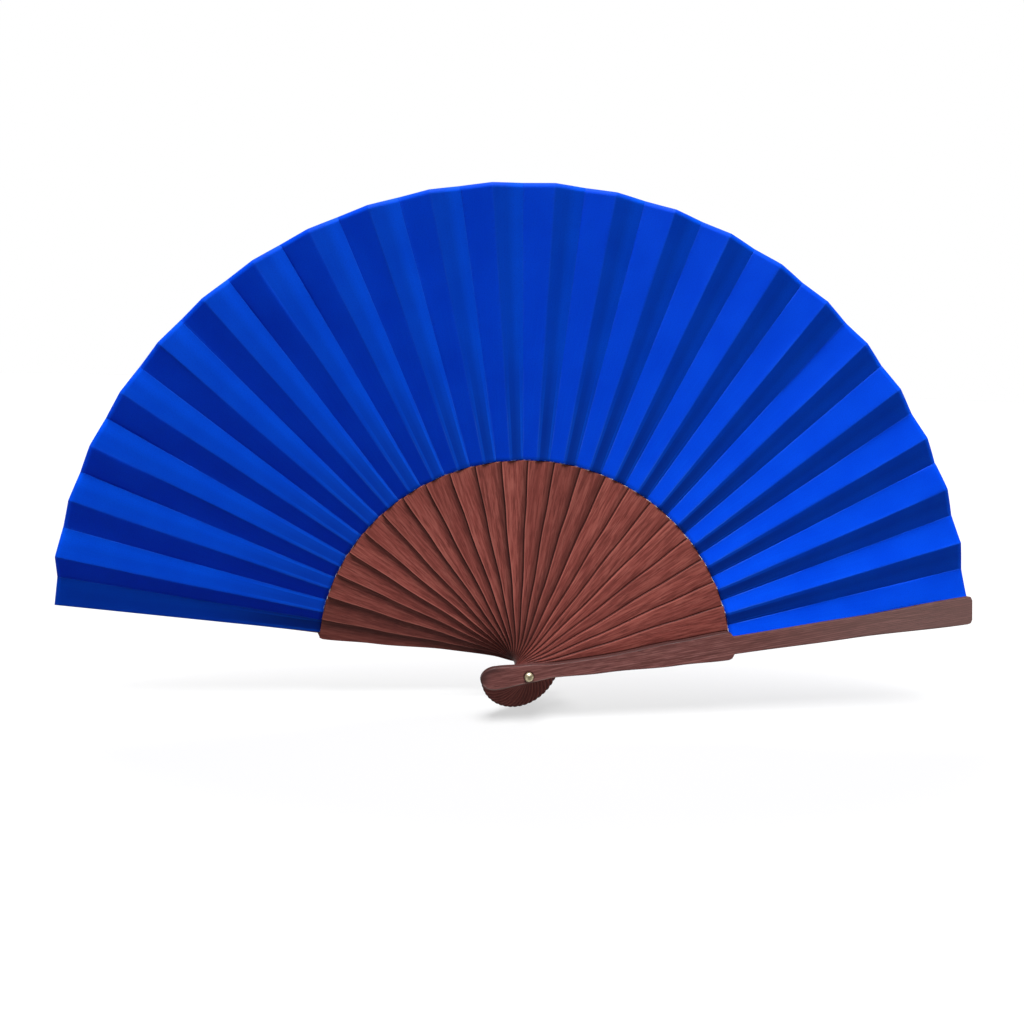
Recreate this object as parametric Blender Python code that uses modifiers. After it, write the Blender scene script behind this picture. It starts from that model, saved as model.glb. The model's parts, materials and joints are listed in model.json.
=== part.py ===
"""A folding hand fan with sandalwood ribs, a pleated cloth leaf and a brass rivet, shown open.

The fan stands upright in the XZ plane and faces -Y. The rivet's axis is Y, and the origin is the middle of the
rivet's flat rear end. Rib 0 is the rear guard, at the left, and each next rib lies one pitch further forward and
one step further clockwise, up to the front guard at the right. All sizes are metres.
"""
from math import asin, cos, pi, radians, sin, tan

import bmesh
import bpy

# Ribs: two guards with the sticks between them
STICKS = 22
RIBS = STICKS + 2
STEP = radians(7.16)              # angle from one rib to the next, fan open
FIRST_STEP = radians(6.0)         # the rear guard stands closer to the first stick
PITCH = 0.0013                    # depth from one stick to the next
STICK_THICKNESS = 0.0010
GUARD_THICKNESS = 0.0030
GAP = 0.0003                      # running gap between neighbours

# Lengths along a rib, from the rivet's axis
STICK_HEAD_END = -0.0210
GUARD_HEAD_END = -0.0213
SHOULDER = 0.0935                 # the wide lower part of a rib ends here
STICK_END = 0.2060
REAR_GUARD_END = 0.2081           # hidden behind the cloth
FRONT_GUARD_END = 0.2115

# Half widths along a rib (distance from the axis, half width)
ARM_WIDTHS = ((0.0340, 0.0037), (0.0680, 0.0055), (SHOULDER - 0.0015, 0.0066), (SHOULDER, 0.0061))
STICK_WIDTHS = ((-0.0115, 0.0044), (0.0, 0.0039), (0.0120, 0.0030), *ARM_WIDTHS)
GUARD_WIDTHS = ((-0.0145, 0.0052), (0.0, 0.0042), (0.0120, 0.0031), *ARM_WIDTHS)
SLIP_WIDTHS = ((SHOULDER + 0.0001, 0.0030), (STICK_END - 0.0015, 0.0026), (STICK_END, 0.0012))
GUARD_SHOULDER_WIDTHS = ((SHOULDER + 0.0001, 0.0060), (SHOULDER + 0.0012, 0.0042), (0.1500, 0.0050))
GUARD_TIP_WIDTHS = ((-0.0020, 0.0068), (-0.0006, 0.0064), (0.0, 0.0050))     # from the guard's end
HEAD_SHIFT = -0.00095             # a guard's head stands off centre, and the shift fades out along the arm
HEAD_SHIFT_END = 0.0340
HEAD_ARC_POINTS = 6
STEPS_BETWEEN = 3                 # stations added between two widths that differ smoothly

# Leaf: one strip of cloth, folded into a glued and a free panel for each rib
LEAF_INNER = 0.0940
LEAF_OUTER = 0.2100
LEAF_THICKNESS = 0.00025
SLIP_THICKNESS = 0.00045
PLEAT_DEPTH = 0.0100              # depth from mountain to valley fold, as a share of the radius
HALF_PANEL = STEP / 4             # half of the angle that one panel spans

# Rivet
SHANK_RADIUS = 0.0012
BORE_RADIUS = SHANK_RADIUS + GAP
HEAD_RADIUS = 0.0020
REAR_HEAD = 0.0010
DOME_HEIGHT = 0.0012
WASHER_RADIUS = 0.00195
WASHER_THICKNESS = 0.0005
ROUND_STEPS = 24
DOME_POINTS = 5

# What follows from the sizes above
TWIST = PLEAT_DEPTH / (2 * tan(HALF_PANEL))                 # slope across a glued panel and its slip
LEAF_MIDDLE = (LEAF_THICKNESS - STICK_THICKNESS) / 2        # a stick's cloth, behind the stick's front face
LEAF_FRONT_REACH = LEAF_MIDDLE - (PLEAT_DEPTH * LEAF_OUTER + LEAF_THICKNESS) / 2
SLIP_REAR_REACH = STICK_THICKNESS / 2 + TWIST * SLIP_WIDTHS[0][1]
GUARD_OFFSET = (STICK_THICKNESS + GUARD_THICKNESS) / 2 + GAP
REAR_GUARD_Y = -(REAR_HEAD + WASHER_THICKNESS + 2 * GAP + GUARD_THICKNESS / 2)
FIRST_STICK_Y = REAR_GUARD_Y - GUARD_OFFSET
LAST_STICK_Y = FIRST_STICK_Y - (STICKS - 1) * PITCH
FRONT_GUARD_Y = LAST_STICK_Y - GUARD_OFFSET
REAR_CLOTH = FIRST_STICK_Y + SLIP_REAR_REACH + GAP + LEAF_THICKNESS / 2 - REAR_GUARD_Y
FRONT_CLOTH = LAST_STICK_Y + LEAF_FRONT_REACH - GAP - LEAF_THICKNESS / 2 - FRONT_GUARD_Y

WOOD = ("sandalwood", (0.18, 0.045, 0.036), 0.45, 0.0)
CLOTH = ("blue_cloth", (0.0, 0.045, 0.55), 0.6, 0.0)
BRASS = ("brass", (0.62, 0.46, 0.22), 0.3, 1.0)


def material(finish, name):
    label, colour, roughness, metallic = finish
    made = bpy.data.materials.new(f"{label}_{name}")
    made.use_nodes = True
    shader = made.node_tree.nodes["Principled BSDF"]
    shader.inputs["Base Color"].default_value = (*colour, 1)
    shader.inputs["Roughness"].default_value = roughness
    shader.inputs["Metallic"].default_value = metallic
    return made


def collection(name):
    made = bpy.data.collections.new(name)
    bpy.context.scene.collection.children.link(made)
    return made


def add_object(mesh, name, finish, place):
    """Links an object of the mesh, with a material of its own."""
    obj = bpy.data.objects.new(name, mesh)
    place.objects.link(obj)
    if not mesh.materials:
        mesh.materials.append(None)
    obj.material_slots[0].link = "OBJECT"
    obj.material_slots[0].material = material(finish, name)
    return obj


def set_on_rib(obj, rib):
    """Turns the object about the rivet to the rib's angle, at the rib's depth."""
    obj.location = (0, rib_depth(rib), 0)
    obj.rotation_euler = (0, rib_angle(rib), 0)


def rib_angle(rib):
    """Angle clockwise from +Z, seen from the front."""
    first_stick = -(RIBS - 1) / 2 * STEP + STEP
    if rib == 0:
        return first_stick - FIRST_STEP
    return first_stick + (rib - 1) * STEP


def rib_depth(rib):
    if rib == 0:
        return REAR_GUARD_Y
    if rib == RIBS - 1:
        return FRONT_GUARD_Y
    return FIRST_STICK_Y - (rib - 1) * PITCH


def ease(share):
    return share * share * (3 - 2 * share)


def stations(widths):
    """Stations (distance, half width) that pass smoothly through the widths."""
    found = [widths[0]]
    for (start, low), (end, high) in zip(widths, widths[1:]):
        steps = STEPS_BETWEEN if end - start > 0.005 else 1
        for step in range(1, steps + 1):
            share = step / steps
            found.append((start + share * (end - start), low + ease(share) * (high - low)))
    return found


def head_stations(head_end, widths):
    """The rounded head: a half ellipse from the rib's end to the first width."""
    start, half = widths[0]
    found = []
    for point in range(HEAD_ARC_POINTS):
        turn = pi / 2 * (point + 0.4) / HEAD_ARC_POINTS
        found.append((start + (head_end - start) * cos(turn), half * sin(turn)))
    return found


def head_shift(distance):
    return HEAD_SHIFT * (1 - ease(min(1, max(0, distance / HEAD_SHIFT_END))))


def loft(name, sections):
    """A solid through four-cornered sections (distance, half width, front, rear, slope, shift)."""
    bm = bmesh.new()
    rings = []
    for distance, half, front, rear, slope, shift in sections:
        corners = ((-half, front), (half, front), (half, rear), (-half, rear))
        rings.append([bm.verts.new((x + shift, y + slope * x, distance)) for x, y in corners])
    bm.faces.new(rings[0])
    for low, high in zip(rings, rings[1:]):
        for side in range(4):
            nxt = (side + 1) % 4
            bm.faces.new((low[side], high[side], high[nxt], low[nxt]))
    bm.faces.new(reversed(rings[-1]))
    bmesh.ops.recalc_face_normals(bm, faces=bm.faces)
    mesh = bpy.data.meshes.new(name)
    bm.to_mesh(mesh)
    bm.free()
    return mesh


def stick_mesh():
    """An inner rib: the slip above the shoulder is thin, and slopes with the panel that it is glued to."""
    half = STICK_THICKNESS / 2
    lower = head_stations(STICK_HEAD_END, STICK_WIDTHS) + stations(STICK_WIDTHS)
    sections = [(z, w, -half, half, 0, 0) for z, w in lower]
    sections += [(z, w, half - SLIP_THICKNESS, half, TWIST, 0) for z, w in stations(SLIP_WIDTHS)]
    return loft("stick", sections)


def guard_mesh(name, end, upper_front, upper_rear):
    """An outer rib: thick, and thinned above the shoulder on its inner side, where it backs the cloth."""
    half = GUARD_THICKNESS / 2
    lower = head_stations(GUARD_HEAD_END, GUARD_WIDTHS) + stations(GUARD_WIDTHS)
    sections = [(z, w, -half, half, 0, head_shift(z)) for z, w in lower]
    tip = tuple((end + back, w) for back, w in GUARD_TIP_WIDTHS)
    sections += [(z, w, upper_front, upper_rear, 0, 0) for z, w in stations(GUARD_SHOULDER_WIDTHS + tip)]
    return loft(name, sections)


def bore_cutter(place):
    """A round bar on the rivet's axis, long enough for any rib."""
    bpy.ops.mesh.primitive_cylinder_add(vertices=ROUND_STEPS, radius=BORE_RADIUS, depth=3 * GUARD_THICKNESS,
                                        rotation=(pi / 2, 0, 0))
    cutter = bpy.context.object
    bpy.ops.object.transform_apply(location=False, rotation=True, scale=False)
    cutter.name = "bore_cutter"
    cutter.display_type = "WIRE"
    cutter.hide_render = True
    for old in list(cutter.users_collection):
        old.objects.unlink(cutter)
    place.objects.link(cutter)
    return cutter


def drill(mesh, cutter, place):
    """The mesh with the rivet's bore cut through it."""
    blank = bpy.data.objects.new("blank", mesh)
    place.objects.link(blank)
    cut = blank.modifiers.new("bore", "BOOLEAN")
    cut.operation = "DIFFERENCE"
    cut.solver = "EXACT"
    cut.object = cutter
    bpy.context.view_layer.update()
    drilled = bpy.data.meshes.new_from_object(blank.evaluated_get(bpy.context.evaluated_depsgraph_get()))
    drilled.name = mesh.name
    bpy.data.objects.remove(blank)
    return drilled


def build_ribs(place, cutter, scrap):
    half = GUARD_THICKNESS / 2
    cloth_room = LEAF_THICKNESS / 2 + GAP
    rear_guard = guard_mesh("rear_guard", REAR_GUARD_END, REAR_CLOTH + cloth_room, half)
    front_guard = guard_mesh("front_guard", FRONT_GUARD_END, -half, FRONT_CLOTH - cloth_room)
    for rib, blank in ((0, rear_guard), (RIBS - 1, front_guard)):
        set_on_rib(add_object(drill(blank, cutter, scrap), blank.name, WOOD, place), rib)
    mesh = drill(stick_mesh(), cutter, scrap)
    for rib in range(1, RIBS - 1):
        set_on_rib(add_object(mesh, f"stick_{rib:02d}", WOOD, place), rib)


def leaf_strip(name, folds):
    """Cloth between the leaf's inner and outer edges, through folds (angle, depth, depth share of radius)."""
    bm = bmesh.new()
    edges = []
    for radius in (LEAF_INNER, LEAF_OUTER):
        edges.append([bm.verts.new((radius * sin(turn), depth + share * radius, radius * cos(turn)))
                      for turn, depth, share in folds])
    inner, outer = edges
    for at in range(len(folds) - 1):
        bm.faces.new((inner[at], inner[at + 1], outer[at + 1], outer[at]))
    mesh = bpy.data.meshes.new(name)
    bm.to_mesh(mesh)
    bm.free()
    return mesh


def build_leaf(place):
    """One piece of the leaf for each rib: its glued panel, and a flat flap that backs the free panel after it."""
    deep = PLEAT_DEPTH / 2
    flap = STEP - HALF_PANEL
    folds = [(-HALF_PANEL, LEAF_MIDDLE, -deep), (HALF_PANEL, LEAF_MIDDLE, deep), (flap, LEAF_MIDDLE, deep)]
    on_stick = leaf_strip("leaf_pleat", folds)
    first_flap = FIRST_STEP - HALF_PANEL
    on_rear = leaf_strip("leaf_first", [(turn, REAR_CLOTH, 0) for turn in (-HALF_PANEL, HALF_PANEL, first_flap)])
    on_front = leaf_strip("leaf_last", [(turn, FRONT_CLOTH, 0) for turn in (-HALF_PANEL, 0, HALF_PANEL)])
    for rib in range(RIBS):
        mesh = {0: on_rear, RIBS - 1: on_front}.get(rib, on_stick)
        obj = add_object(mesh, f"leaf_pleat_{rib + 1:02d}", CLOTH, place)
        set_on_rib(obj, rib)
        shell = obj.modifiers.new("cloth", "SOLIDIFY")
        shell.thickness = LEAF_THICKNESS
        shell.offset = 0


def turned(name, profile, finish, place):
    """A round piece on the rivet's axis, from a profile (radius, depth) that runs from front to rear."""
    bm = bmesh.new()
    points = [bm.verts.new((radius, 0, -depth)) for radius, depth in profile]
    for first, second in zip(points, points[1:]):
        bm.edges.new((first, second))
    mesh = bpy.data.meshes.new(name)
    bm.to_mesh(mesh)
    bm.free()
    obj = add_object(mesh, name, finish, place)
    obj.rotation_euler = (pi / 2, 0, 0)
    screw = obj.modifiers.new("turn", "SCREW")
    screw.steps = ROUND_STEPS
    screw.render_steps = ROUND_STEPS
    screw.use_merge_vertices = True
    screw.merge_threshold = 0.00001
    screw.use_smooth_shade = False
    return obj


def build_rivet(place):
    """The rivet, with a domed front head and a flat rear head, and a washer under each head."""
    rear_washer = -(REAR_HEAD + GAP)
    front_washer = FRONT_GUARD_Y - GUARD_THICKNESS / 2 - GAP
    dome_base = front_washer - WASHER_THICKNESS - GAP
    sphere = (HEAD_RADIUS ** 2 + DOME_HEIGHT ** 2) / (2 * DOME_HEIGHT)
    spread = asin(HEAD_RADIUS / sphere)
    profile = []
    for point in range(DOME_POINTS + 1):
        turn = spread * point / DOME_POINTS
        profile.append((sphere * sin(turn), dome_base - DOME_HEIGHT + sphere * (1 - cos(turn))))
    profile += [(SHANK_RADIUS, dome_base), (SHANK_RADIUS, -REAR_HEAD), (HEAD_RADIUS, -REAR_HEAD),
                (HEAD_RADIUS, 0), (0, 0)]
    turned("rivet", profile, BRASS, place)
    for name, rear in (("rear_washer", rear_washer), ("front_washer", front_washer)):
        front = rear - WASHER_THICKNESS
        ring = [(BORE_RADIUS, front), (WASHER_RADIUS, front), (WASHER_RADIUS, rear), (BORE_RADIUS, rear),
                (BORE_RADIUS, front)]
        turned(name, ring, BRASS, place)


def main():
    for old in list(bpy.data.objects):
        bpy.data.objects.remove(old)
    fan = collection("folding_fan")
    scrap = collection("cutters")
    cutter = bore_cutter(scrap)
    build_ribs(fan, cutter, scrap)
    build_leaf(fan)
    build_rivet(fan)


main()
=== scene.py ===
"""Looks of the folding hand fan: pleated blue cloth, sandalwood ribs and a brass rivet."""
import json
from math import asin, cos, exp, pi, radians, sin, tan
from random import Random

import bmesh
import bpy
from mathutils import Euler, Matrix, Vector, noise


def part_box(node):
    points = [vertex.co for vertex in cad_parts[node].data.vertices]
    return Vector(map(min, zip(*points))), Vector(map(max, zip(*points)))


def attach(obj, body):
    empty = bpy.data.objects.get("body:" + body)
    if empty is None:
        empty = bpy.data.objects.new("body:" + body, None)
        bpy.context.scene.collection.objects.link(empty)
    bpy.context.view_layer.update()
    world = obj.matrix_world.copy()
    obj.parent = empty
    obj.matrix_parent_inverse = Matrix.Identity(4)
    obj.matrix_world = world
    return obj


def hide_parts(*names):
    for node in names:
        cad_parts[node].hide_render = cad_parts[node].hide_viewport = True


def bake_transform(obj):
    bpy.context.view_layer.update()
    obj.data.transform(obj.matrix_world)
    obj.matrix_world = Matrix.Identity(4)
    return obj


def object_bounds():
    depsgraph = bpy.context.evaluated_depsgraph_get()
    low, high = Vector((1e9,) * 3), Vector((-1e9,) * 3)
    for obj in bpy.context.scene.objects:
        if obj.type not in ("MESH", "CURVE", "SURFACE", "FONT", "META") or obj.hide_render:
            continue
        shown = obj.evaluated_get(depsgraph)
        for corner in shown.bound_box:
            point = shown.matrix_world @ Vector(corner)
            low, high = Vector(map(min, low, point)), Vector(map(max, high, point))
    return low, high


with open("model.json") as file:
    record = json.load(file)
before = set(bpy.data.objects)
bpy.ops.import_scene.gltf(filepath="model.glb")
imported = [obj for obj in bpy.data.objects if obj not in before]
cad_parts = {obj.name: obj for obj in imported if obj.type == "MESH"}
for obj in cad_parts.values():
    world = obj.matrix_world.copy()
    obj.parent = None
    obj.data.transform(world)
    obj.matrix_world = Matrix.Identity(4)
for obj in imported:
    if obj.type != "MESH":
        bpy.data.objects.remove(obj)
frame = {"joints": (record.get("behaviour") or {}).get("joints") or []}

CAD_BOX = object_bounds()

# The ribs, from the rear guard at the left to the front guard at the right
STICKS = [f"stick_{number:02d}" for number in range(1, 23)]
RIBS = ["rear_guard", *STICKS, "front_guard"]
LAST = len(RIBS) - 1
# Every rib closes flat on the rib behind it, so a fold's range is also the angle between its two ribs
STEPS = [radians(joint["range_deg"][1]) for joint in frame["joints"]]
ANGLES = [LAST / 2 * STEPS[-1] - sum(STEPS[rib:]) for rib in range(LAST + 1)]
HALF_PANEL = STEPS[-1] / 4           # half the angle of one cloth panel

# Wood, as in the design. Widths are half widths at distances from the rivet.
STICK_THICKNESS = 0.0010
SLIP_THICKNESS = 0.00045
GUARD_THICKNESS = 0.0030
STICK_HEAD_END = -0.0210
GUARD_HEAD_END = -0.0213
SHOULDER = 0.0935
ARM_WIDTHS = ((0.0340, 0.0037), (0.0680, 0.0055))
STICK_WIDTHS = ((-0.0115, 0.0044), (0.0, 0.0039), (0.0120, 0.0030), *ARM_WIDTHS,
                (SHOULDER - 0.0004, 0.0066), (SHOULDER, 0.0063))
GUARD_WIDTHS = ((-0.0145, 0.0052), (0.0, 0.0042), (0.0120, 0.0031), *ARM_WIDTHS,
                (SHOULDER - 0.0015, 0.0066), (SHOULDER, 0.0061))
SLIP_WIDTHS = ((SHOULDER + 0.0001, 0.0030), (0.2045, 0.0026), (0.2060, 0.0012))
GUARD_SHOULDER_WIDTHS = ((SHOULDER + 0.0001, 0.0060), (SHOULDER + 0.0012, 0.0042), (0.1500, 0.0050))
GUARD_TIP_WIDTHS = ((-0.0020, 0.0068), (-0.0006, 0.0064), (0.0, 0.0050))     # from the guard's end
GUARD_ENDS = {0: 0.2081, LAST: 0.2115}
HEAD_SHIFT = -0.00095                # a guard's head stands off centre
HEAD_SHIFT_END = 0.0340
STATION_SPACING = 0.0030             # between the sections of a rib
HEAD_STATIONS = 18                   # sections of a rib's round head
STICK_ROUNDING = 0.00018
GUARD_ROUNDING = 0.00035
HEAD_ROUNDING = 0.00055              # the guard's head has been sanded rounder than its arm
BORE_RADIUS = 0.0015

# Wear, painted highlight and painted shade on the wood
PALE_EDGE_WIDTH = 0.00070                  # width of the strip along every edge that is painted paler, as wear and as a painted highlight
RUB_WIDTH = 0.00035                  # half the width of the pale rub along the front guard's head
RUB_END = 0.0200                     # and how far up the guard it reaches
HEAD_SHADE_WIDTH = 0.0042                 # reach of the painted shade from the edge of a head
HEAD_SHADE_START = 0.0090                 # below the rivet, where the painted shade on a head begins
BESIDE_SHADE_REACH = 0.0042                  # reach of the painted shade beside the rib in front
GAP_SHADE_WIDTH = 0.0006                   # width of the dark painted shade line right beside it
RIVET_RING = (0.0021, 0.0029)        # radii between which the dark ring round the rivet fades
DARK_RIBS = {0: 0.55, 1: 0.46, 2: 0.25, 3: 0.15}     # shade on the rearmost ribs, which are of darker wood
MOST_SHADE = 0.18                    # on any other rib
FADED_WOOD = (0.265, 0.165, 0.150)
RUBBED_WOOD = (0.60, 0.37, 0.33)

# Cloth
LEAF_INNER = 0.09375
LEAF_OUTER = 0.2100
REAR_LEAF_OUTER = 0.2087             # the first panel, on the rear guard, is cut a little shorter
REAR_LEAF_SHIFT = -0.0005            # and it is glued off centre
CLOTH_THICKNESS = 0.00020
PLEAT_DEPTH = 0.0100                 # depth from mountain to valley fold, as a share of the radius
CLOTH_FRONT = 0.000375               # a stick's cloth lies this far in front of the stick's middle
CLOTH_ROOM = 0.00033                 # between a guard's inner face and the cloth on it
FOLD_ROUNDING = 0.00040              # from a fold to the next points of the cloth
SLIP_RELIEF = 0.00010                # the cloth stands out this far over a slip
TWIST = PLEAT_DEPTH / (2 * tan(HALF_PANEL))          # slope across a glued panel and the slip behind it
EDGE_ROWS = (0.0, 0.0006, 0.0013, 0.0022, 0.0034, 0.0050, 0.0072)     # close rows, from the inner edge
LEAF_ROWS = 26                       # beyond the close ones
GLUED_SLACK = 0.00012                # height of the cloth's waves at the outer edge
FREE_SLACK = 0.00070
WAVE_SCALE = 26.0
PUCKER_SCALE = 420.0
PUCKER_HEIGHT = 0.00022
PUCKER_REACH = 0.0035
BRIGHT_BLUE = (0.0, 0.105, 1.0)
PLAIN_BLUE = (0.0, 0.090, 0.93)
DEEP_BLUE = (0.0, 0.010, 0.25)
THREAD_STEPS = 4
THREAD_ROOT = 0.0004                 # a loose thread starts this far outwards of the cloth's edge
THREAD_RADIUS = 0.000035

# Brass
SHANK_RADIUS = 0.0012
HEAD_RADIUS = 0.0020
DOME_HEIGHT = 0.0012
DOME_STEPS = 12
ROUND_STEPS = 64
RIVET_PLAY = 0.0003                  # between the rear washer and the rivet's rear head
RIVET_RIM = 0.00012
WASHER_RIM = 0.00010

# Studio
AMBIENT = 0.110                      # the even light round the fan, beside the two lamps
# Name, strength, angle in degrees and direction of the light
LAMPS = (("key", 7.5, 35, (0.030, 0.21, -0.975)), ("rear", 3.7, 30, (0.10, -0.60, -0.80)))


# ---- Materials -----------------------------------------------------------------------------------------

class Nodes:
    """A material's node tree, with short calls that make and link its nodes."""

    def __init__(self, name):
        self.material = bpy.data.materials.new(name)
        self.material.use_nodes = True
        self.tree = self.material.node_tree
        self.shader = self.tree.nodes["Principled BSDF"]

    def link(self, value, socket):
        """Links a socket to the output of another node, or gives it a number, vector or colour."""
        if isinstance(value, bpy.types.NodeSocket):
            self.tree.links.new(value, socket)
        elif value is not None:
            socket.default_value = (*value, 1) if socket.type == "RGBA" else value

    def node(self, kind, settings=None, **sockets):
        made = self.tree.nodes.new(kind)
        for key, value in (settings or {}).items():
            setattr(made, key, value)
        for key, value in sockets.items():
            self.link(value, made.inputs[key.replace("_", " ")])
        return made

    def math(self, operation, first, second=None, third=None):
        made = self.node("ShaderNodeMath", {"operation": operation})
        for socket, value in zip(made.inputs, (first, second, third)):
            self.link(value, socket)
        return made.outputs[0]

    def attribute(self, name):
        return self.node("ShaderNodeAttribute", {"attribute_name": name})

    def split(self, vector):
        return self.node("ShaderNodeSeparateXYZ", Vector=vector).outputs

    def scaled(self, vector, scale):
        made = self.node("ShaderNodeVectorMath", {"operation": "MULTIPLY"})
        self.link(vector, made.inputs[0])
        made.inputs[1].default_value = scale
        return made.outputs[0]

    def from_y_axis(self, place):
        """Distance from the Y axis, on which the rivet lies."""
        beside = self.scaled(place, (1, 0, 1))
        return self.node("ShaderNodeVectorMath", {"operation": "LENGTH"}, Vector=beside).outputs["Value"]

    def noise(self, vector, scale, detail=2.0, roughness=0.5):
        made = self.node("ShaderNodeTexNoise", Vector=vector, Scale=scale, Detail=detail, Roughness=roughness)
        return made.outputs["Fac"]

    def remap(self, value, from_low, from_high, to_low=0.0, to_high=1.0):
        made = self.node("ShaderNodeMapRange", {"interpolation_type": "SMOOTHSTEP"}, Value=value,
                         From_Min=from_low, From_Max=from_high, To_Min=to_low, To_Max=to_high)
        return made.outputs[0]

    def mix(self, share, first, second):
        made = self.node("ShaderNodeMix", {"data_type": "RGBA"})
        for socket, value in ((0, share), (6, first), (7, second)):
            self.link(value, made.inputs[socket])
        return made.outputs[2]

    def bump(self, height, strength, distance, normal=None):
        made = self.node("ShaderNodeBump", Height=height, Strength=strength, Distance=distance, Normal=normal)
        return made.outputs[0]

    def finish(self, **sockets):
        """Fills in the material's own shader."""
        for key, value in sockets.items():
            self.link(value, self.shader.inputs[key.replace("_", " ")])
        return self.material


class WorldNodes(Nodes):
    """The same calls for the world's node tree."""

    def __init__(self, name):
        self.material = bpy.data.worlds.new(name)
        self.material.use_nodes = True
        self.tree = self.material.node_tree
        self.shader = self.tree.nodes["Background"]


def toned(colour, share):
    """The same colour, darker or lighter."""
    return tuple(share * part for part in colour)


def wood_material(name, dark, middle, light, figure, tip_grey, edge_wear_and_highlight, wall_start):
    """Fine long grain with pores, paler edges and dark painted shade beside the rib in front.

    figure is the strength of the broad arched growth lines, tip_grey how much the far end has faded,
    edge_wear_and_highlight how pale the edges are, as wear and as a painted highlight, and wall_start how
    near the edge the painted shade towards the walls begins.
    """
    n = Nodes(name)
    grain = n.attribute("grain").outputs["Vector"]
    place = n.attribute("place").outputs["Vector"]
    along = n.split(place)[2]
    edge = n.attribute("edge").outputs["Fac"]
    crevice = n.attribute("crevice").outputs["Fac"]
    head_shade = n.attribute("head_shade").outputs["Fac"]
    rubbed = n.attribute("rubbed").outputs["Fac"]
    beside_shade = n.attribute("beside_shade").outputs["Fac"]
    shade = n.attribute("shade").outputs["Fac"]
    fibres = n.noise(n.scaled(grain, (3000.0, 3000.0, 75.0)), 1.0, 4.0, 0.62)
    streaks = n.noise(n.scaled(grain, (620.0, 620.0, 13.0)), 1.0, 3.0, 0.55)
    flecks = n.noise(n.scaled(grain, (1050.0, 1050.0, 95.0)), 1.0, 3.0, 0.6)
    patches = n.noise(n.scaled(grain, (55.0, 55.0, 12.0)), 1.0, 2.0)
    arches = n.node("ShaderNodeTexWave", {"wave_type": "BANDS", "bands_direction": "X"},
                    Vector=n.scaled(grain, (330.0, 330.0, 26.0)), Scale=1.0, Distortion=9.0, Detail=2.0,
                    Detail_Scale=0.6).outputs["Fac"]
    pores = n.remap(n.noise(n.scaled(grain, (2300.0, 2300.0, 190.0)), 1.0, 1.0), 0.58, 0.70)

    tone = n.mix(n.remap(streaks, 0.32, 0.68), dark, middle)
    tone = n.mix(n.math("MULTIPLY", n.remap(fibres, 0.42, 0.72), 0.60), tone, light)
    tone = n.mix(n.remap(flecks, 0.48, 0.66, 0.0, 0.70), tone, light)
    tone = n.mix(n.remap(flecks, 0.34, 0.50, 0.62, 0.0), tone, toned(dark, 0.60))
    upper = n.remap(along, 0.060, 0.130, 0.45, 1.0)
    arched = n.math("MULTIPLY", n.math("MULTIPLY", n.remap(arches, 0.45, 0.95), upper), figure)
    tone = n.mix(arched, tone, toned(dark, 0.62))
    tone = n.mix(n.remap(patches, 0.35, 0.75, 0.0, 0.40), tone, dark)
    tone = n.mix(n.math("MULTIPLY", pores, 0.40), tone, toned(dark, 0.40))

    tone = n.mix(n.remap(along, 0.070, 0.190, 0.0, tip_grey), tone, FADED_WOOD)
    # Edges painted paler, partly as wear and partly as a painted highlight
    worn_and_lit_edge = n.math("MULTIPLY", n.remap(edge, 0.20, 0.55), n.remap(streaks, 0.25, 0.60, 0.35 * edge_wear_and_highlight, edge_wear_and_highlight))
    tone = n.mix(worn_and_lit_edge, tone, toned(light, 1.2))
    # Painted shade beside the rib in front, standing in for its shadow, and a darker painted shade line at
    # the gap
    beside = n.math("MULTIPLY", n.remap(crevice, -BESIDE_SHADE_REACH, -0.0002, 0.0, 0.68), beside_shade)
    tone = n.mix(beside, tone, toned(dark, 0.22))
    gap_shade = n.math("MULTIPLY", n.remap(crevice, -GAP_SHADE_WIDTH, -0.0002, 0.0, 0.85),
                 n.remap(along, -0.004, 0.004, 0.35, 1.0))
    tone = n.mix(gap_shade, tone, toned(dark, 0.12))
    # Walls and rounded edges painted darker: painted shade against the light that they catch
    wall_shade = n.mix(n.remap(streaks, 0.32, 0.68), toned(dark, 0.20), toned(dark, 0.36))
    tone = n.mix(n.remap(edge, wall_start, 0.95), tone, wall_shade)
    tone = n.mix(rubbed, tone, RUBBED_WOOD)
    tone = n.mix(n.remap(n.from_y_axis(place), *RIVET_RING, 0.80, 0.0), tone, toned(dark, 0.12))
    # Painted shade along the rim of a head
    tone = n.mix(n.math("MULTIPLY", head_shade, 0.92), tone, toned(middle, 0.14))
    tone = n.mix(shade, tone, (0.0, 0.0, 0.0))

    rough = n.remap(fibres, 0.3, 0.7, 0.46, 0.62)
    grooves = n.bump(flecks, 0.30, 0.00020, n.bump(n.math("SUBTRACT", 1.0, pores), 0.35, 0.00008))
    return n.finish(Base_Color=tone, Roughness=rough, Normal=n.bump(fibres, 0.35, 0.00008, grooves),
                    Specular_IOR_Level=0.25)


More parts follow.
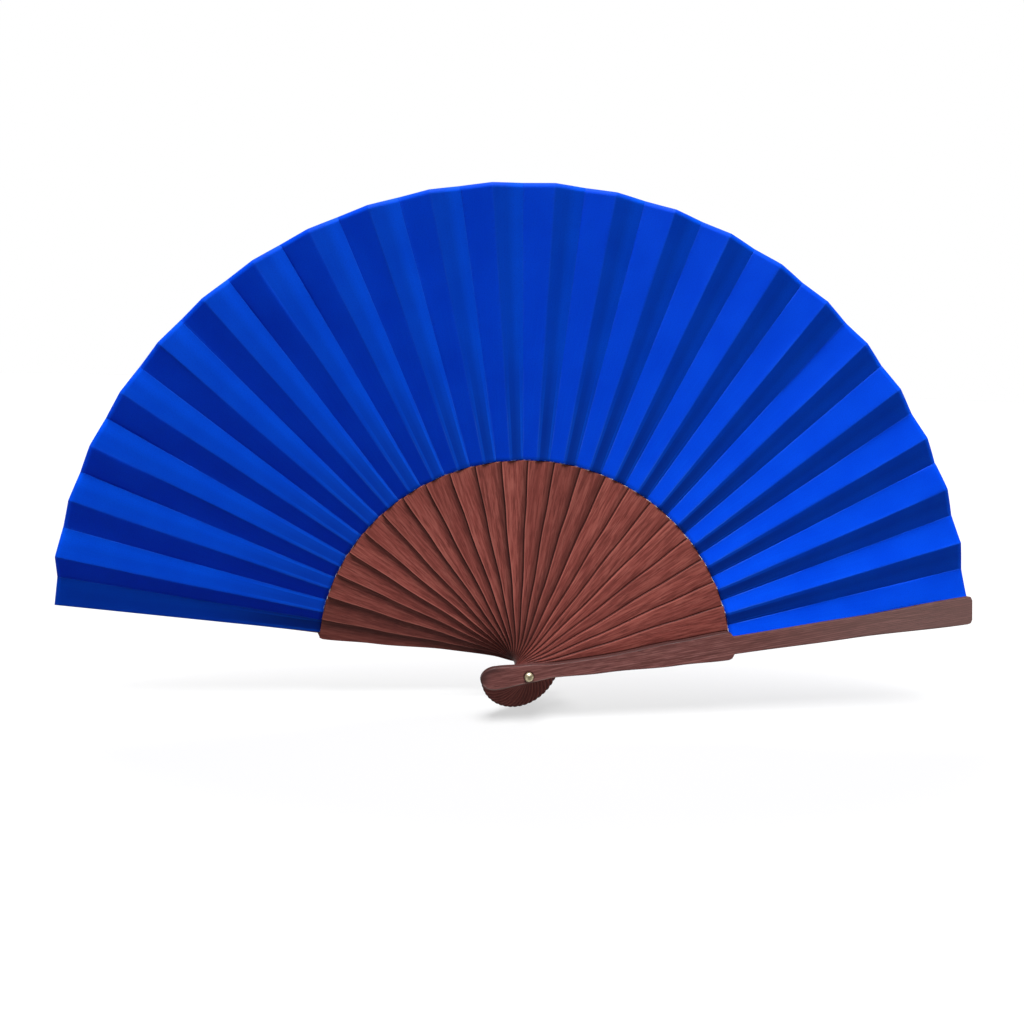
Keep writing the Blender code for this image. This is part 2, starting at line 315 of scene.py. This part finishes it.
def cloth_material():
    """Fine plain weave, nearly matt. The slips show through as a duller strip, and folds are painted paler,
    as wear and as a painted highlight.

    Light passes through the free panels more than through the glued ones. The attribute glued is 0 on a free
    panel, 1 on a panel that is glued to a rib, and 2 on the rear guard's panel.
    """
    n = Nodes("blue_cloth_weave")
    across, along, _ = n.split(n.attribute("panel").outputs["Vector"])
    weave = n.attribute("weave").outputs["Vector"]
    glued = n.attribute("glued").outputs["Fac"]
    warp, weft = (n.node("ShaderNodeTexWave", {"bands_direction": direction}, Vector=weave, Scale=640.0,
                         Distortion=0.6, Detail=1.0).outputs["Fac"] for direction in "XY")
    threads = n.math("MULTIPLY", warp, weft)
    polar = n.node("ShaderNodeCombineXYZ", X=across, Y=along, Z=glued).outputs[0]
    radial = n.noise(n.scaled(polar, (1500.0, 30.0, 9.0)), 1.0, 3.0)
    slub = n.noise(n.scaled(weave, (1700.0, 1700.0, 1.0)), 1.0, 3.0, 0.7)
    cloud = n.noise(n.scaled(weave, (60.0, 60.0, 1.0)), 1.0, 3.0)

    panel_width = n.math("MULTIPLY", along, 2 * tan(HALF_PANEL))
    share = n.math("DIVIDE", across, panel_width)
    from_fold = n.math("MULTIPLY", n.math("PINGPONG", n.math("ADD", share, 0.5), 0.5), panel_width)
    fold = n.remap(from_fold, 0.00008, 0.00038, 1.0, 0.0)
    fold_wear_and_highlight = n.remap(n.noise(n.scaled(polar, (1.0, 60.0, 9.0)), 1.0, 3.0), 0.38, 0.62)
    near_inner = n.remap(along, LEAF_INNER, LEAF_INNER + 0.050, 1.0, 0.0)
    fold_share = n.math("MULTIPLY", fold, n.math("MULTIPLY_ADD", near_inner, 0.35, 0.12))

    slip_half = n.remap(along, LEAF_INNER, LEAF_INNER + 0.035, 0.00215, 0.00265)
    inside = n.math("SUBTRACT", slip_half, n.math("ABSOLUTE", across))
    slip_length = n.remap(along, SLIP_WIDTHS[2][0] - 0.0010, SLIP_WIDTHS[2][0], 1.0, 0.0)
    slip = n.math("MULTIPLY", n.math("MULTIPLY", n.remap(inside, -0.0003, 0.0003), slip_length), glued)
    from_slip_edge = n.math("ABSOLUTE", n.math("ADD", inside, 0.00035))
    slip_edge = n.math("MULTIPLY", n.remap(from_slip_edge, 0.0, 0.0004, 1.0, 0.0), glued)
    slip_share = n.remap(along, LEAF_INNER + 0.004, LEAF_INNER + 0.060, 0.50, 0.03)
    raw_edge = n.remap(along, LEAF_INNER, LEAF_INNER + 0.0006, 1.0, 0.0)
    fray = n.remap(n.noise(n.scaled(weave, (900.0, 900.0, 1.0)), 1.0, 2.0), 0.56, 0.62)
    # Painted shade along the inner edge, where the sticks shade the cloth
    inner_edge_shade = n.remap(along, LEAF_INNER, LEAF_INNER + 0.0022, 0.55, 0.0)

    backed = n.remap(glued, 0.0, 1.0)
    duller_side = n.math("MULTIPLY", n.remap(share, -0.10, 0.22, 0.22, 0.0), backed)

    tone = n.mix(n.remap(cloud, 0.3, 0.7), PLAIN_BLUE, BRIGHT_BLUE)
    tone = n.mix(n.remap(slub, 0.42, 0.70, 0.0, 0.42), tone, (0.0, 0.050, 0.70))
    tone = n.mix(n.remap(radial, 0.48, 0.74, 0.0, 0.30), tone, (0.0, 0.130, 1.0))
    tone = n.mix(n.math("MULTIPLY", n.remap(threads, 0.05, 0.5, 1.0, 0.0), 0.10), tone, (0.0, 0.03, 0.60))
    tone = n.mix(n.math("MULTIPLY", slip, slip_share), tone, (0.004, 0.038, 0.34))
    tone = n.mix(n.math("MULTIPLY", slip_edge, n.math("MULTIPLY", near_inner, 0.35)), tone, (0.01, 0.16, 1.0))
    # Folds painted paler, partly as crease wear and partly as a painted highlight
    tone = n.mix(n.math("MULTIPLY", fold_share, fold_wear_and_highlight), tone, (0.05, 0.22, 1.0))
    tone = n.mix(n.remap(glued, 1.0, 2.0, 0.0, 0.48), tone, (0.0, 0.020, 0.22))
    tone = n.mix(n.math("MULTIPLY", n.math("SUBTRACT", 1.0, backed), 0.18), tone, DEEP_BLUE)
    tone = n.mix(duller_side, tone, DEEP_BLUE)
    # Painted shade along the inner edge
    tone = n.mix(inner_edge_shade, tone, (0.0, 0.012, 0.16))
    tone = n.mix(n.math("MULTIPLY", n.math("MULTIPLY", raw_edge, fray), 0.7), tone, (0.42, 0.48, 0.62))
    rough = n.remap(cloud, 0.3, 0.7, 0.50, 0.60)
    slack = n.bump(cloud, 0.30, 0.0006)
    normal = n.bump(threads, 0.25, 0.00006, n.bump(slub, 0.30, 0.00010, slack))
    surface = n.finish(Base_Color=tone, Roughness=rough, Normal=normal, Specular_IOR_Level=0.04)
    passing = n.mix(backed, (0.0, 0.004, 0.90), (0.0, 0.001, 0.22))
    through = n.node("ShaderNodeBsdfTranslucent", Color=passing)
    both = n.node("ShaderNodeMixShader")
    for socket, value in zip(both.inputs, (0.20, n.shader.outputs[0], through.outputs[0])):
        n.link(value, socket)
    n.link(both.outputs[0], n.tree.nodes["Material Output"].inputs["Surface"])
    return surface


def brass_material():
    """Turned brass that has dulled, with fine scratches and darker tarnish.

    The middle is painted darker, as a painted reflection of the dark surroundings.
    """
    n = Nodes("brass_aged")
    place = n.attribute("grain").outputs["Vector"]
    tarnish = n.remap(n.noise(n.scaled(place, (700.0, 700.0, 700.0)), 1.0, 4.0, 0.6), 0.40, 0.66)
    scratches = n.noise(n.scaled(place, (9000.0, 1200.0, 1200.0)), 1.0, 2.0)
    tone = n.mix(n.math("MULTIPLY", tarnish, 0.75), (0.60, 0.52, 0.34), (0.18, 0.15, 0.09))
    # Painted reflection: the middle of the dome is painted dark, as if it mirrored the dark surroundings
    tone = n.mix(n.remap(n.from_y_axis(place), 0.0005, 0.0016, 0.75, 0.0), tone, (0.13, 0.12, 0.07))
    rough = n.remap(tarnish, 0.0, 1.0, 0.38, 0.55)
    normal = n.bump(scratches, 0.20, 0.00003)
    return n.finish(Base_Color=tone, Roughness=rough, Normal=normal, Metallic=1.0)


def thread_material():
    """Loose fibre ends at the cloth's raw edge, whitened by glue."""
    n = Nodes("loose_threads")
    place = n.attribute("grain").outputs["Vector"]
    patch = n.noise(n.scaled(place, (1400.0, 1400.0, 1400.0)), 1.0, 2.0)
    tone = n.mix(n.remap(patch, 0.40, 0.60), (0.03, 0.10, 0.45), (0.35, 0.38, 0.46))
    return n.finish(Base_Color=tone, Roughness=n.remap(patch, 0.3, 0.7, 0.6, 0.8), Sheen_Weight=0.3)


# ---- Placing -------------------------------------------------------------------------------------------

def rib_depth(rib):
    """The depth of a rib's middle. A stick's slip reaches further back than its flat part."""
    low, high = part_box(RIBS[rib])
    if RIBS[rib] in STICKS:
        return low[1] + STICK_THICKNESS / 2
    return (low[1] + high[1]) / 2


def rib_place(rib):
    """The rib's frame: X across it, Z along it from the rivet, Y to the rear."""
    return Matrix.Translation((0, rib_depth(rib), 0)) @ Matrix.Rotation(ANGLES[rib], 4, "Y")


def new_object(name, mesh, material):
    """A piece in the scene, with its material."""
    made = bpy.data.objects.new(name, mesh)
    bpy.context.scene.collection.objects.link(made)
    mesh.materials.clear()
    mesh.materials.append(material)
    return made


def store(mesh, name, kind, values):
    """Keeps one value for each vertex in the mesh, for the material to read."""
    made = mesh.attributes.new(name, kind, "POINT")
    if kind == "FLOAT":
        made.data.foreach_set("value", values)
    else:
        made.data.foreach_set("vector", [part for value in values for part in value])


def mesh_from(bm, name, smooth_angle=40):
    """A mesh with its faces turned outwards and sharp edges beyond an angle in degrees."""
    mesh = bpy.data.meshes.new(name)
    bmesh.ops.recalc_face_normals(bm, faces=bm.faces)
    bm.to_mesh(mesh)
    bm.free()
    mesh.shade_smooth()
    mesh.set_sharp_from_angle(angle=radians(smooth_angle))
    return mesh


# ---- Wood ----------------------------------------------------------------------------------------------

def ease(share):
    """A smooth step from 0 to 1."""
    share = min(1.0, max(0.0, share))
    return share * share * (3 - 2 * share)


def half_width(widths, distance):
    """Half width at a distance from the rivet, easing from one given width to the next."""
    for (start, low), (end, high) in zip(widths, widths[1:]):
        if distance <= end:
            return low + ease((distance - start) / (end - start)) * (high - low)
    return widths[-1][1]


def distances(widths):
    """Distances along a rib: every given one, and more between them."""
    found = [widths[0][0]]
    for (start, _), (end, _) in zip(widths, widths[1:]):
        count = max(1, round((end - start) / STATION_SPACING))
        found += [start + (end - start) * step / count for step in range(1, count + 1)]
    return found


class Rib:
    """The outline and section of a stick or guard, in its own frame."""

    def __init__(self, number):
        self.guard = number in GUARD_ENDS
        self.half = (GUARD_THICKNESS if self.guard else STICK_THICKNESS) / 2
        self.head_end = GUARD_HEAD_END if self.guard else STICK_HEAD_END
        self.lower = GUARD_WIDTHS if self.guard else STICK_WIDTHS
        # Beside the leaf a guard's inner face stands just off the cloth, and a stick is only a thin slip
        if self.guard:
            tip = tuple((GUARD_ENDS[number] + back, wide) for back, wide in GUARD_TIP_WIDTHS)
            self.upper = GUARD_SHOULDER_WIDTHS + tip
            low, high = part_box(f"leaf_pleat_{number + 1:02d}")
            side = 1 if number == 0 else -1
            face = (low[1] + high[1]) / 2 - rib_depth(number) + side * (CLOTH_THICKNESS / 2 + CLOTH_ROOM)
            self.upper_faces = (face, self.half) if side > 0 else (-self.half, face)
        else:
            self.upper = SLIP_WIDTHS
            self.upper_faces = (self.half - SLIP_THICKNESS, self.half)

    def shift(self, distance):
        """How far the outline's middle stands off the rib's own."""
        return HEAD_SHIFT * (1 - ease(distance / HEAD_SHIFT_END)) if self.guard else 0.0

    def outline(self, distance):
        """Half width at a distance, with the round head's half ellipse below the first width."""
        start, wide = self.lower[0]
        if distance < start:
            along = (distance - start) / (self.head_end - start)
            return wide * max(0.0, 1 - along * along) ** 0.5
        return half_width(self.lower if distance <= SHOULDER else self.upper, distance)

    def inside(self, x, distance):
        """How far a point lies inside the outline."""
        start, wide = self.lower[0]
        x -= self.shift(distance)
        if distance < start:
            along = (distance - start) / (self.head_end - start)
            return wide * (1 - min(1.0, ((x / wide) ** 2 + along ** 2) ** 0.5))
        return max(0.0, self.outline(distance) - abs(x))

    def rounding(self, distance):
        """Radius of the front edges."""
        if not self.guard:
            return STICK_ROUNDING if distance <= SHOULDER else 0.45 * STICK_ROUNDING
        return GUARD_ROUNDING + (HEAD_ROUNDING - GUARD_ROUNDING) * ease(-distance / 0.012)

    def insets(self):
        """Distances from the outline at which the faces have points, close together over the rounding."""
        radius = HEAD_ROUNDING if self.guard else STICK_ROUNDING
        return [0.0, 0.07 * radius, 0.25 * radius, 0.5 * radius, radius, PALE_EDGE_WIDTH * 1.3, 0.6 * HEAD_SHADE_WIDTH,
                HEAD_SHADE_WIDTH]

    def ring(self, distance):
        """The points round one section: along the front face, then back along the rear one."""
        wide = self.outline(distance)
        upper = distance > SHOULDER
        front, rear = self.upper_faces if upper else (-self.half, self.half)
        slope = TWIST if upper and not self.guard else 0.0
        found = sorted({min(inset, wide * (0.05 + 0.11 * at)) if at else 0.0
                        for at, inset in enumerate(self.insets())})
        columns = [inset - wide for inset in found] + [0.0] + [wide - inset for inset in reversed(found)]
        points = []
        for face, inward in ((front, 1), (rear, -1)):
            radius = min(self.rounding(distance) * (1.0 if inward > 0 else 0.5), 0.42 * (rear - front))
            side = []
            for column in columns:
                x = column + self.shift(distance)
                over = max(0.0, 1 - self.inside(x, distance) / radius)
                y = face + inward * radius * (1 - (1 - over * over) ** 0.5)
                side.append((x, y + slope * x, distance))
            points += side if inward > 0 else side[::-1]
        return points

    def stations(self):
        """Distances from the rivet at which the rib has a section, from the head's end to the tip."""
        start = self.lower[0][0]
        head = []
        for point in range(HEAD_STATIONS):
            turn = pi / 2 * (point + 0.25) / HEAD_STATIONS
            head.append(start + (self.head_end - start) * cos(turn))
        return head + distances(self.lower) + distances(self.upper)

    def solid(self, name):
        """The whole rib as a closed mesh with its bore."""
        bm = bmesh.new()
        rings = [[bm.verts.new(point) for point in self.ring(distance)] for distance in self.stations()]
        for low, high in zip(rings, rings[1:]):
            for at in range(len(low)):
                after = (at + 1) % len(low)
                bm.faces.new((low[at], high[at], high[after], low[after]))
        bm.faces.new(rings[0])
        bm.faces.new(list(reversed(rings[-1])))
        return bored(mesh_from(bm, name))


def bored(mesh):
    """The mesh with the rivet's bore through it."""
    bpy.ops.mesh.primitive_cylinder_add(vertices=ROUND_STEPS, radius=BORE_RADIUS, depth=3 * GUARD_THICKNESS)
    cutter = bpy.context.object
    cutter.data.transform(Matrix.Rotation(pi / 2, 4, "X"))
    blank = bpy.data.objects.new("blank", mesh)
    bpy.context.scene.collection.objects.link(blank)
    cut = blank.modifiers.new("bore", "BOOLEAN")
    cut.operation = "DIFFERENCE"
    cut.object = cutter
    bpy.context.view_layer.update()
    made = bpy.data.meshes.new_from_object(blank.evaluated_get(bpy.context.evaluated_depsgraph_get()))
    bpy.data.objects.remove(blank)
    bpy.data.objects.remove(cutter)
    made.shade_smooth()
    made.set_sharp_from_angle(angle=radians(40))
    return made


def under_next(point, rib, ahead):
    """How far a point lies under the rib in front, from that rib's visible edge. Negative is in view."""
    if rib == LAST:
        return -1.0
    turn = STEPS[rib]
    x = point.x * cos(turn) - point.z * sin(turn)
    distance = point.x * sin(turn) + point.z * cos(turn)
    side = 1 if point.z > 0 else -1
    return ahead.outline(distance) + side * (x - ahead.shift(distance))


def add_rib(rib, solid, shape, ahead, material, chance):
    """One rib: its own copy of the solid, with grain that no other rib has, riding on its body."""
    mesh = solid.copy()
    points = [vertex.co for vertex in mesh.vertices]
    shift = Vector([chance.uniform(-1, 1) for _ in range(3)])
    tilt = Euler((chance.uniform(-0.02, 0.02), chance.uniform(-0.03, 0.03), 0)).to_matrix()
    store(mesh, "grain", "FLOAT_VECTOR", [tilt @ point + shift for point in points])
    store(mesh, "place", "FLOAT_VECTOR", points)
    inside = [shape.inside(point.x, point.z) for point in points]
    store(mesh, "edge", "FLOAT", [max(0.0, 1 - depth / PALE_EDGE_WIDTH) for depth in inside])
    store(mesh, "crevice", "FLOAT", [under_next(point, rib, ahead) for point in points])
    # Most painted shade beside the rib in front lies on the middle ribs, half as much on the front ones and
    # little on the rear ones
    beside_shade = 0.10 + 0.90 * ease((rib - 5) / 5) - 0.55 * ease((rib - 13) / 4)
    store(mesh, "beside_shade", "FLOAT", [beside_shade * (0.2 + 0.8 * ease(point.z / 0.012)) for point in points])
    shade = DARK_RIBS[rib] if rib in DARK_RIBS else chance.uniform(0.0, MOST_SHADE)
    store(mesh, "shade", "FLOAT", [shade] * len(points))
    # Painted shade along one side of the rim of a head, below the rivet
    head_shade = [ease(1 - depth / HEAD_SHADE_WIDTH) * ease((-point.z - HEAD_SHADE_START) / 0.006)
             * ease(0.6 - point.x / 0.004) for point, depth in zip(points, inside)]
    store(mesh, "head_shade", "FLOAT", head_shade)
    rubbed = [0.75 * ease(1 - abs(depth - RUB_WIDTH) / RUB_WIDTH) * ease(point.x / 0.0015)
              * ease((RUB_END - point.z) / 0.010) for point, depth in zip(points, inside)]
    store(mesh, "rubbed", "FLOAT", rubbed if rib == LAST else [0.0] * len(points))
    made = new_object(f"wood_{RIBS[rib]}", mesh, material)
    made.matrix_world = rib_place(rib)
    flat = made.modifiers.new("flat_faces", "WEIGHTED_NORMAL")
    flat.keep_sharp = True
    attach(made, RIBS[rib])
    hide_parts(RIBS[rib])


def build_wood():
    """All the ribs. The front guard is of a browner, faded wood with a stronger figure."""
    stick_wood = wood_material("sandalwood_sticks", (0.258, 0.052, 0.042), (0.398, 0.091, 0.072),
                               (0.555, 0.159, 0.124), figure=0.18, tip_grey=0.0, edge_wear_and_highlight=0.70, wall_start=0.75)
    guard_wood = wood_material("sandalwood_guards", (0.175, 0.054, 0.048), (0.280, 0.096, 0.087),
                               (0.398, 0.165, 0.148), figure=0.85, tip_grey=0.55, edge_wear_and_highlight=0.12, wall_start=0.30)
    chance = Random(4)
    shapes = [Rib(number) for number in range(LAST + 1)]
    stick = shapes[1].solid("stick")
    for rib, shape in enumerate(shapes):
        solid = shape.solid(RIBS[rib]) if shape.guard else stick
        wood = guard_wood if rib == LAST else stick_wood
        add_rib(rib, solid, shape, shapes[min(rib + 1, LAST)], wood, chance)


# ---- Cloth ---------------------------------------------------------------------------------------------

def fold_line(rib, side, radius):
    """A point on the mountain (side -1) or valley (side 1) fold beside a rib, so far from the rivet."""
    turn = ANGLES[rib] + side * HALF_PANEL
    if RIBS[rib] in STICKS:
        depth = rib_depth(rib) - CLOTH_FRONT + side * PLEAT_DEPTH * radius / 2
    else:
        low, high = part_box(f"leaf_pleat_{rib + 1:02d}")
        depth = (low[1] + high[1]) / 2
    if rib == 0:
        turn += REAR_LEAF_SHIFT / radius
        radius -= (LEAF_OUTER - REAR_LEAF_OUTER) * (radius - LEAF_INNER) / (LEAF_OUTER - LEAF_INNER)
    return Vector((radius * sin(turn), depth, radius * cos(turn)))


def cloth_lift(point, radius, slack):
    """How far the cloth stands forward: soft waves that grow outwards, and puckers at the inner edge."""
    share = (radius - LEAF_INNER) / (LEAF_OUTER - LEAF_INNER)
    waves = noise.noise(point * WAVE_SCALE) * slack * share
    puckers = noise.noise(point * PUCKER_SCALE) * PUCKER_HEIGHT * exp(-(radius - LEAF_INNER) / PUCKER_REACH)
    return waves + puckers


def leaf_rows():
    """Distances from the rivet, close together at the inner edge, where the cloth puckers."""
    found = [LEAF_INNER + step for step in EDGE_ROWS]
    start = found[-1]
    return found + [start + (LEAF_OUTER - start) * step / LEAF_ROWS for step in range(1, LEAF_ROWS + 1)]


def panel_shares(width, glued, radius):
    """Shares across one panel: beside each fold, at the slip's edges where it is glued, and in the middle."""
    beside = FOLD_ROUNDING / width
    if not glued:
        return [beside, 0.5, 1 - beside]
    slip = min(half_width(SLIP_WIDTHS, radius) / width, 0.5 - 2 * beside)
    return [beside, 0.5 - slip, 0.5, 0.5 + slip, 1 - beside]


def leaf_row(rib, radius):
    """Points across one row of a pleat: (place, share of cloth panels from the pleat's start, lift)."""
    found = []
    panels = [(fold_line(rib, -1, radius), fold_line(rib, 1, radius), True)]
    if rib > 0:
        panels.insert(0, (fold_line(rib - 1, 1, radius), fold_line(rib, -1, radius), False))
    width = 2 * radius * sin(HALF_PANEL)
    for number, (start, end, glued) in enumerate(panels):
        shares = panel_shares(width, glued, radius)
        for share in ([0.0] if number == 0 else []) + shares + [1.0]:
            at_fold = share in (0.0, 1.0)
            on_slip = glued and shares[0] < share < shares[-1]
            slack = 0.0 if at_fold else (GLUED_SLACK if glued else FREE_SLACK)
            relief = SLIP_RELIEF if on_slip and RIBS[rib] in STICKS else 0.0
            place = start.lerp(end, share)
            found.append((place, number + share, relief + cloth_lift(place, radius, slack)))
    return found


def build_pleat(rib, material):
    """The free panel before a rib and the panel that is glued to it, as one strip of cloth."""
    bm = bmesh.new()
    panels, weave, glued, grid = [], [], [], []
    free = 1 if rib > 0 else 0
    flat_panel = 2 * asin((sin(HALF_PANEL) ** 2 + (PLEAT_DEPTH / 2) ** 2) ** 0.5)
    for radius in leaf_rows():
        row = []
        for place, share, lift in leaf_row(rib, radius):
            row.append(bm.verts.new(place - Vector((0, lift, 0))))
            across = (share - free - 0.5) * 2 * radius * tan(HALF_PANEL)
            turn = (2 * rib - free + share) * flat_panel
            panels.append((across, radius, 0.0))
            glued.append(2.0 if rib == 0 else ease((share - free + 0.02) / 0.04))
            weave.append((radius * sin(turn), radius * cos(turn), 0.0))
        grid.append(row)
    for low, high in zip(grid, grid[1:]):
        for at in range(len(low) - 1):
            bm.faces.new((low[at], low[at + 1], high[at + 1], high[at]))
    mesh = mesh_from(bm, f"cloth_pleat_{rib + 1:02d}", 180)
    store(mesh, "panel", "FLOAT_VECTOR", panels)
    store(mesh, "weave", "FLOAT_VECTOR", weave)
    store(mesh, "glued", "FLOAT", glued)
    made = new_object(f"cloth_pleat_{rib + 1:02d}", mesh, material)
    smooth = made.modifiers.new("smooth", "SUBSURF")
    smooth.levels = smooth.render_levels = 1
    smooth.boundary_smooth = "PRESERVE_CORNERS"
    shell = made.modifiers.new("cloth", "SOLIDIFY")
    shell.thickness = CLOTH_THICKNESS
    shell.offset = 0
    if rib == 0:
        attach(made, RIBS[0])
    else:
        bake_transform(made)
    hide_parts(f"leaf_pleat_{rib + 1:02d}")


def build_threads(rib, material, chance):
    """Loose fibre ends along a rib's stretch of the cloth's inner edge."""
    bm = bmesh.new()
    for _ in range(4 if rib > LAST / 2 else 2):
        share = chance.uniform(0.10, 0.40)
        start = fold_line(rib, -1, LEAF_INNER).lerp(fold_line(rib, 1, LEAF_INNER), share)
        outward = Vector((sin(ANGLES[rib]), 0, cos(ANGLES[rib])))
        sideways = Vector((cos(ANGLES[rib]), 0, -sin(ANGLES[rib]))) * chance.uniform(-0.9, 0.9)
        length = chance.uniform(0.0003, 0.0009)
        curl = Vector((0, -chance.uniform(0.0, 0.08), 0))
        points = [start + outward * THREAD_ROOT]
        for step in range(1, THREAD_STEPS + 1):
            lean = step / THREAD_STEPS
            heading = sideways * lean - outward * (1 - 0.4 * lean) + curl * lean
            points.append(start + heading * length * lean)
        rings = []
        for at, point in enumerate(points):
            radius = THREAD_RADIUS * (1 - 0.6 * at / THREAD_STEPS)
            spokes = [outward * cos(turn) + Vector((0, 1, 0)) * sin(turn) + sideways * 0.3
                      for turn in (0, pi / 2, pi, 1.5 * pi)]
            rings.append([bm.verts.new(point + spoke * radius) for spoke in spokes])
        for low, high in zip(rings, rings[1:]):
            for at in range(4):
                bm.faces.new((low[at], low[(at + 1) % 4], high[(at + 1) % 4], high[at]))
        bm.faces.new(list(reversed(rings[0])))
        bm.faces.new(rings[-1])
    mesh = mesh_from(bm, f"loose_threads_{rib + 1:02d}", 90)
    store(mesh, "grain", "FLOAT_VECTOR", [vertex.co for vertex in mesh.vertices])
    made = new_object(f"loose_threads_{rib + 1:02d}", mesh, material)
    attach(made, RIBS[rib])


def build_cloth():
    """The leaf, one strip for each rib, with the fibres along its inner edge."""
    material = cloth_material()
    threads = thread_material()
    chance = Random(11)
    for rib in range(LAST + 1):
        build_pleat(rib, material)
        build_threads(rib, threads, chance)


# ---- Brass ---------------------------------------------------------------------------------------------

def turned(name, profile, material, node):
    """A round piece on the rivet's axis, from a closed or axis-to-axis profile (radius, depth)."""
    bm = bmesh.new()
    rings = []
    for radius, depth in profile:
        if radius == 0:
            rings.append([bm.verts.new((0, depth, 0))])
            continue
        turns = [2 * pi * step / ROUND_STEPS for step in range(ROUND_STEPS)]
        rings.append([bm.verts.new((radius * cos(turn), depth, radius * sin(turn))) for turn in turns])
    closed = len(rings[0]) > 1
    for low, high in zip(rings, rings[1:] + (rings[:1] if closed else [])):
        for at in range(ROUND_STEPS):
            after = (at + 1) % ROUND_STEPS
            corners = (low[at % len(low)], high[at % len(high)],
                       high[after % len(high)], low[after % len(low)])
            bm.faces.new(list(dict.fromkeys(corners)))       # a point on the axis is two corners in one
    mesh = mesh_from(bm, name, 35)
    store(mesh, "grain", "FLOAT_VECTOR", [vertex.co for vertex in mesh.vertices])
    made = new_object(name, mesh, material)
    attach(made, RIBS[0])
    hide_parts(node)


def build_brass():
    """The rivet, domed in front and flat behind, and the washer under each of its heads."""
    brass = brass_material()
    low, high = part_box("rivet")
    front, rear = low[1], high[1]
    sphere = (HEAD_RADIUS ** 2 + DOME_HEIGHT ** 2) / (2 * DOME_HEIGHT)
    spread = asin(HEAD_RADIUS / sphere)
    profile = [(0, front)]
    for step in range(1, DOME_STEPS):
        turn = spread * step / DOME_STEPS
        profile.append((sphere * sin(turn), front + sphere * (1 - cos(turn))))
    base = front + DOME_HEIGHT
    rear_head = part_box("rear_washer")[1][1] + RIVET_PLAY
    narrow = HEAD_RADIUS - RIVET_RIM
    profile += [(0.98 * HEAD_RADIUS, base), (HEAD_RADIUS, base), (narrow, base + RIVET_RIM / 2),
                (SHANK_RADIUS, base + RIVET_RIM / 2), (SHANK_RADIUS, rear_head), (narrow, rear_head),
                (HEAD_RADIUS, rear_head + RIVET_RIM), (HEAD_RADIUS, rear - RIVET_RIM), (narrow, rear),
                (0, rear)]
    turned("brass_rivet", profile, brass, "rivet")
    for node in ("rear_washer", "front_washer"):
        low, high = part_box(node)
        outer = high[0]
        narrow = outer - WASHER_RIM
        ring = [(BORE_RADIUS, low[1]), (narrow, low[1]), (outer, low[1] + WASHER_RIM),
                (outer, high[1] - WASHER_RIM), (narrow, high[1]), (BORE_RADIUS, high[1])]
        turned(f"brass_{node}", ring, brass, node)


# ---- Studio --------------------------------------------------------------------------------------------

def build_camera():
    """In front of the fan, a little above the rivet and to its left."""
    data = bpy.data.cameras.new("camera")
    data.lens = 28.51
    data.sensor_width = 36.0
    data.clip_start = 0.01
    camera = bpy.data.objects.new("camera", data)
    bpy.context.scene.collection.objects.link(camera)
    level = Matrix.Rotation(pi / 2, 4, "X")
    turn = (Matrix.Rotation(radians(-7.794), 4, "Z") @ Matrix.Rotation(radians(-9.870), 4, "X")
            @ Matrix.Rotation(radians(-1.705), 4, "Y"))
    camera.matrix_world = Matrix.Translation((-0.05555, -0.37221, 0.13244)) @ turn @ level
    bpy.context.scene.camera = camera


def build_studio():
    """A pale floor under the heads, soft lamps above in front and behind, and a pale world."""
    bpy.ops.mesh.primitive_circle_add(vertices=96, radius=8.0, fill_type="NGON",
                                      location=(0, 0, CAD_BOX[0][2] - 0.0005))
    floor = bpy.context.object
    floor.name = "floor"
    n = Nodes("floor_paper")
    place = n.node("ShaderNodeNewGeometry").outputs["Position"]
    tone = n.mix(n.noise(place, 3.0), (0.155, 0.155, 0.157), (0.165, 0.165, 0.167))
    floor.data.materials.append(n.finish(Base_Color=tone, Roughness=0.9, Specular_IOR_Level=0.0,
                                         Emission_Color=(1.0, 1.0, 1.0), Emission_Strength=0.60))
    floor.visible_diffuse = False

    for name, energy, angle, aim in LAMPS:
        data = bpy.data.lights.new(name, "SUN")
        data.energy = energy
        data.angle = radians(angle)
        lamp = bpy.data.objects.new(name, data)
        lamp.rotation_euler = Vector(aim).to_track_quat("-Z", "Y").to_euler()
        bpy.context.scene.collection.objects.link(lamp)

    n = WorldNodes("studio")
    height = n.split(n.node("ShaderNodeTexCoord").outputs["Generated"])[2]
    path = n.node("ShaderNodeLightPath")
    mirrored = n.remap(height, 0.15, 0.95, 0.06, 1.00)
    strength = n.math("MULTIPLY", path.outputs["Is Glossy Ray"], n.math("SUBTRACT", mirrored, AMBIENT))
    strength = n.math("ADD", strength, AMBIENT)
    seen = n.math("MULTIPLY", path.outputs["Is Camera Ray"], n.math("SUBTRACT", 1.0, strength))
    n.link(n.math("ADD", strength, seen), n.shader.inputs["Strength"])
    n.shader.inputs["Color"].default_value = (1, 1, 1, 1)
    bpy.context.scene.world = n.material
    bpy.context.scene.view_settings.view_transform = "Standard"


build_camera()
build_wood()
build_cloth()
build_brass()
build_studio()
